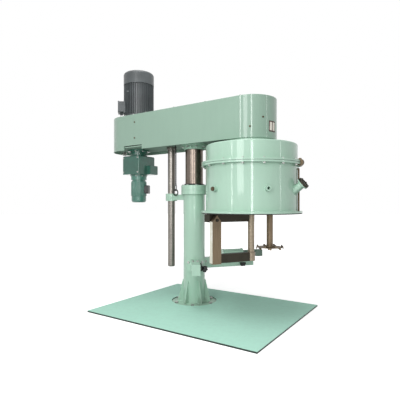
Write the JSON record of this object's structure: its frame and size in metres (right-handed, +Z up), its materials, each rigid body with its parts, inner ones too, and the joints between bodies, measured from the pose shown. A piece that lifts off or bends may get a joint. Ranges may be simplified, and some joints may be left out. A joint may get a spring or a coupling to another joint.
{
  "type": "dual shaft dispersing mixer",
  "caption": "Column-mounted dual shaft mixer: hydraulic lifting head, belt-driven saw-tooth disperser and slow wall-scraping frame under a tank lid.",
  "frame": {"origin": "column axis on the floor, at the underside of the column foot", "axes": "+Z up along the column, +X along the head beam from the column to the lid, +Y to the left when looking along +X"},
  "size_m": [2.2368, 1.4922, 2.4671],
  "materials": {
    "green_paint": "semi-gloss machine enamel, pale green",
    "dark_green_paint": "semi-gloss enamel, dark green",
    "grey_paint": "satin grey motor paint",
    "ground_steel": "ground and hard-chromed steel",
    "stainless": "brushed stainless steel",
    "zinc_steel": "zinc-plated steel",
    "machined_steel": "machined steel, oiled",
    "carrier_paint": "green enamel",
    "dark_chain": "blackened steel chain",
    "bronze": "bronze",
    "black_rubber": "black rubber",
    "black_plastic": "black phenolic plastic",
    "white_ptfe": "white PTFE",
    "clear_glass": "toughened sight glass"
  },
  "bodies": {
    "stand": {"base_plate": "green_paint", "column_foot": "green_paint", "stand_bolts": "zinc_steel", "column_tube": "green_paint", "bushes": "bronze", "gland_cover": "green_paint", "gland_bolts": "zinc_steel", "wiper_seal": "black_rubber", "guide_bracket": "green_paint", "yoke_saddle": "green_paint", "near_arm": "green_paint", "far_arm": "green_paint", "yoke_pads": "black_rubber", "tie_cylinder": "green_paint"},
    "lock_knob": {"lock_knob": "black_plastic"},
    "tie_rod": {"tie_rod": "zinc_steel"},
    "head": {"ram": "ground_steel", "ram_flange": "green_paint", "guide_rod": "ground_steel", "pull_chain": "dark_chain", "beam_shell": "green_paint", "beam_cover": "green_paint", "head_bolts": "zinc_steel", "motor_housing": "grey_paint", "fan_cover": "grey_paint", "terminal_box": "grey_paint", "drive_belts": "black_rubber", "gearbox": "dark_green_paint", "slow_motor": "dark_green_paint", "slow_motor_box": "black_plastic", "slow_chain": "machined_steel", "lid_cap": "green_paint", "lid_skirt": "green_paint", "lid_gaskets": "black_rubber", "lid_clips": "zinc_steel", "sight_glass": "clear_glass", "sight_ring": "green_paint", "side_fittings": "zinc_steel", "bearing_housing": "machined_steel", "main_bearings": "machined_steel"},
    "rotor": {"motor_rotor": "machined_steel", "motor_pulley": "machined_steel"},
    "output": {"output_sprocket": "machined_steel"},
    "spindle": {"spindle": "machined_steel", "spindle_pulleys": "machined_steel"},
    "carrier": {"carrier_shaft": "machined_steel", "carrier_sprocket": "machined_steel", "carrier_box": "carrier_paint", "seal_housing": "stainless", "spindle_bushes": "bronze", "planet_belt": "black_rubber", "post": "stainless", "top_arm": "stainless", "wall_bar": "stainless", "scraper_blade": "white_ptfe", "bottom_bar": "stainless"},
    "disperser": {"disperser_shaft": "stainless", "planet_pulley": "machined_steel", "saw_tooth_disc": "stainless", "disc_nut": "stainless"}
  },
  "joints": [
    {"name": "head_lift", "type": "slide", "parent": "stand", "child": "head", "axis": [0, 0, 1], "range_m": [-0.3, 0.55]},
    {"name": "carrier_turn", "type": "hinge", "parent": "head", "child": "carrier", "pos_m": [0.641, 0, 1.2], "axis": [0, 0, 1], "continuous": true},
    {"name": "spindle_spin", "type": "hinge", "parent": "head", "child": "spindle", "pos_m": [0.641, 0, 1.5], "axis": [0, 0, 1], "continuous": true},
    {"name": "motor_spin", "type": "hinge", "parent": "head", "child": "rotor", "pos_m": [-0.766, 0, 2], "axis": [0, 0, 1], "continuous": true},
    {"name": "output_turn", "type": "hinge", "parent": "head", "child": "output", "pos_m": [-0.766, 0, 1.6], "axis": [0, 0, 1], "continuous": true},
    {"name": "disperser_spin", "type": "hinge", "parent": "carrier", "child": "disperser", "pos_m": [0.7475, 0.18446, 0.9], "axis": [0, 0, 1], "continuous": true},
    {"name": "lock_turn", "type": "hinge", "parent": "stand", "child": "lock_knob", "pos_m": [0.13584, -0.03387, 0.35], "axis": [0.9703, -0.2419, 0], "range_deg": [0, 720]},
    {"name": "tie_slide", "type": "slide", "parent": "stand", "child": "tie_rod", "axis": [0.6018, 0.7986, 0], "range_m": [-0.035, 0.06]}
  ],
  "couplings": [
    {"joint": "motor_spin", "follows": "spindle_spin", "ratio": 1.4},
    {"joint": "disperser_spin", "follows": "spindle_spin", "ratio": 1.2727},
    {"joint": "output_turn", "follows": "carrier_turn", "ratio": 2}
  ]
}
